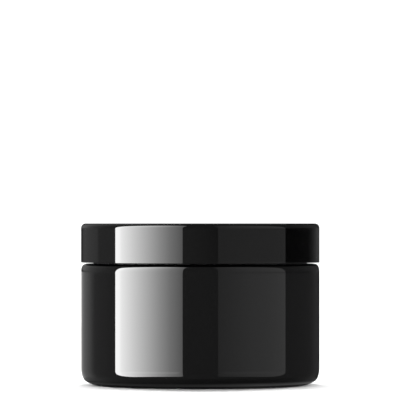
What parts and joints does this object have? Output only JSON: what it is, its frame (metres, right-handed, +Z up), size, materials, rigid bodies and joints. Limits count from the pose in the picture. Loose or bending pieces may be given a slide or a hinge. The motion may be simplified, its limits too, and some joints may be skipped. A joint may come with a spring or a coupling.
{
  "type": "screw-lid cream jar",
  "caption": "Round, low double-wall cream jar with a flush screw lid, an inner cup with a threaded neck, a loose sealing disc and a foam-lined threaded lid insert.",
  "frame": {"origin": "centre of the footprint on the surface the jar stands on", "axes": "+Z up along the jar's axis; the front faces -Y"},
  "size_m": [0.092, 0.092, 0.0623],
  "materials": {
    "black_gloss": "polished moulded gloss black",
    "black_cup": "satin moulded off-black",
    "natural_disc": "soft translucent natural polyethylene",
    "black_insert": "satin moulded black",
    "liner_foam": "closed-cell foam sheet"
  },
  "bodies": {
    "jar": {"outer_jar": "black_gloss", "inner_cup": "black_cup"},
    "disc": {"sealing_disc": "natural_disc"},
    "liner": {"lid_liner": "liner_foam"},
    "lid": {"lid_shell": "black_gloss", "lid_insert": "black_insert"}
  },
  "joints": [
    {"name": "lid_rise", "type": "slide", "parent": "jar", "child": "liner", "axis": [0, 0, 1], "range_m": [0, 0.024]},
    {"name": "lid_turn", "type": "hinge", "parent": "liner", "child": "lid", "pos_m": [0, 0, 0.055], "axis": [0, 0, 1], "range_deg": [0, 1080]},
    {"name": "disc_lift", "type": "slide", "parent": "jar", "child": "disc", "axis": [0, 0, 1], "range_m": [0, 0.01]}
  ],
  "couplings": [
    {"joint": "lid_rise", "follows": "lid_turn", "m_per_rad": 0.0012732},
    {"joint": "disc_lift", "follows": "lid_turn", "m_per_rad": 0.00053052}
  ]
}
